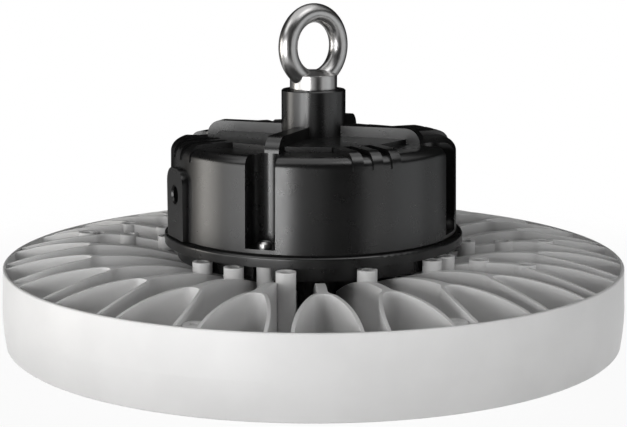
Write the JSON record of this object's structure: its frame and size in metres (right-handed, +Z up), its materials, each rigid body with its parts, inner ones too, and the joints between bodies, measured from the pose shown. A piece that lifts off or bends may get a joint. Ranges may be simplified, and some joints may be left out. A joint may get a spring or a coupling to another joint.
{
  "type": "high bay light",
  "caption": "Round industrial high bay light with a finned die-cast heat sink, a black driver box on top and a lifting eye.",
  "frame": {"origin": "centre of the rim's foot, the lowest plane of the light", "axes": "+Z up through the lifting eye, X and Y along the four ribs of the driver cover, -Y at the front"},
  "size_m": [0.3308, 0.3308, 0.176],
  "materials": {
    "cast_paint": "satin light grey powder coat on die-cast aluminium",
    "black_paint": "satin black powder coat",
    "black_rubber": "matt rubber",
    "screw_steel": "zinc-plated steel",
    "polished_steel": "polished stainless steel",
    "lead_sleeve": "coloured wire insulation",
    "circuit_board": "green solder mask",
    "coil_tape": "yellow tape and lacquer",
    "can_sleeve": "heat-shrink sleeve",
    "bare_aluminium": "bare sheet",
    "grey_plastic": "moulded",
    "black_plastic": "moulded polyamide",
    "grey_pad": "soft gap pad",
    "white_board": "white solder mask on aluminium",
    "phosphor": "yellow phosphor under silicone",
    "white_rubber": "silicone",
    "clear_lens": "clear moulded polycarbonate"
  },
  "bodies": {
    "root": {"heat_sink": "cast_paint", "driver_base": "black_paint", "driver_cover": "black_paint", "cover_gasket": "black_rubber", "cover_screws": "screw_steel", "eye_bolt": "polished_steel", "eye_bolt_seal": "black_rubber", "wire_grommet": "black_rubber", "led_leads": "lead_sleeve", "driver_board": "circuit_board", "board_screws": "screw_steel", "transformer": "coil_tape", "mains_choke": "coil_tape", "bulk_capacitors": "can_sleeve", "film_capacitor": "coil_tape", "output_coil": "coil_tape", "switch_heat_plate": "bare_aluminium", "fuse": "clear_lens", "terminal_block": "grey_plastic", "gland_body": "black_plastic", "gland_locknut": "black_plastic", "gland_seal": "black_rubber", "gland_nut": "black_plastic", "thermal_pad": "grey_pad", "led_board": "white_board", "leds": "phosphor", "led_connector": "grey_plastic", "led_board_screws": "screw_steel", "lens_gasket": "white_rubber", "lens_plate": "clear_lens", "lens_ring": "cast_paint", "lens_screws": "screw_steel"}
  },
  "joints": []
}
